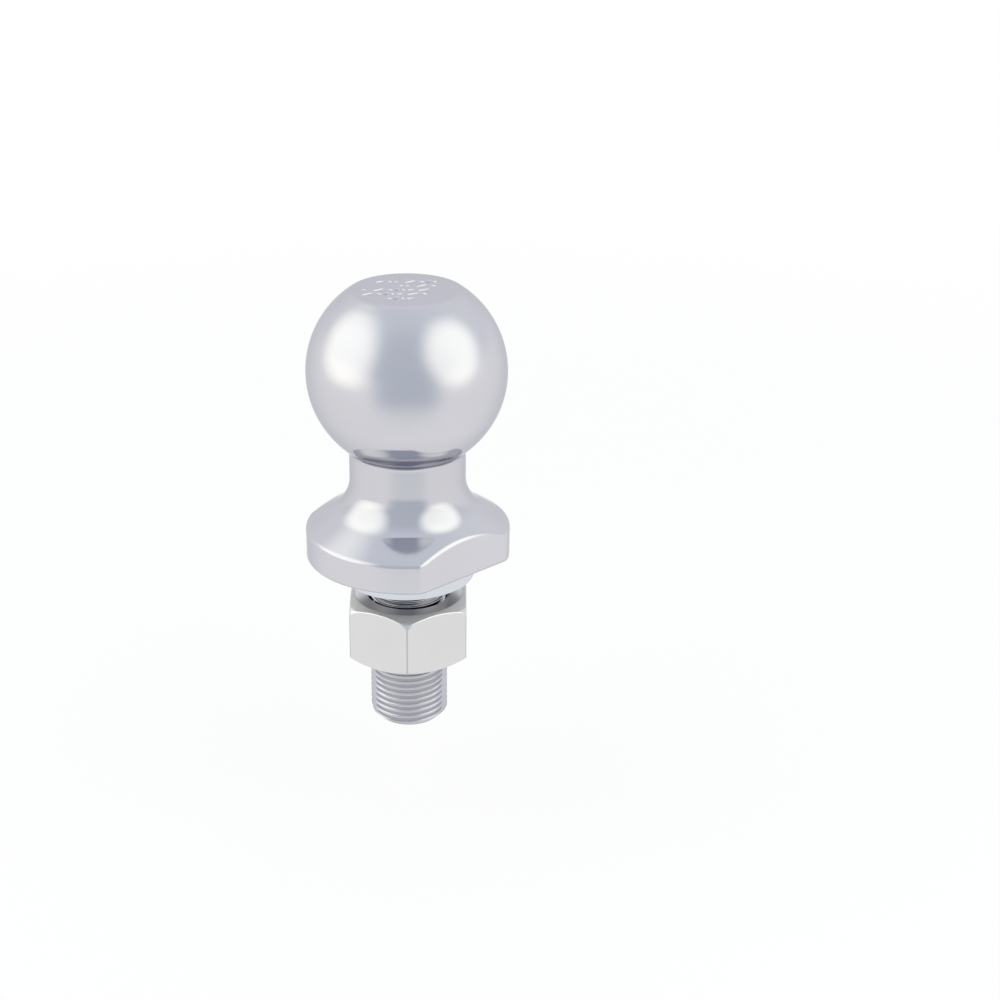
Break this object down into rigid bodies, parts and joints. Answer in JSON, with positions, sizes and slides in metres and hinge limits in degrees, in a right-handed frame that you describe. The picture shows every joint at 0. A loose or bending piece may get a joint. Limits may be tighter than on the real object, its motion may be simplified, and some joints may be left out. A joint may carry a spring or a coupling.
{
  "type": "tow ball",
  "caption": "Tow ball on a waisted neck and round flange with wrench flats, with a threaded shank, split spring washer and hexagon nut.",
  "frame": {"origin": "centre of the seat, the flange's flat underside that bears on the tow bar", "axes": "+Z along the shank and neck up to the ball; the two wrench flats face -Y and +Y"},
  "size_m": [0.0494, 0.0476, 0.111],
  "materials": {
    "plated_stud": "satin-bright plated steel",
    "plated_washer": "bright zinc-plated spring steel",
    "plated_nut": "satin zinc-plated steel"
  },
  "bodies": {
    "stud": {"ball_stud": "plated_stud", "lock_washer": "plated_washer"},
    "nut": {"hex_nut": "plated_nut"}
  },
  "joints": [
    {"name": "nut_travel", "type": "slide", "parent": "stud", "child": "nut", "axis": [0, 0, 1], "range_m": [-0.0346, 0.0036]}
  ]
}
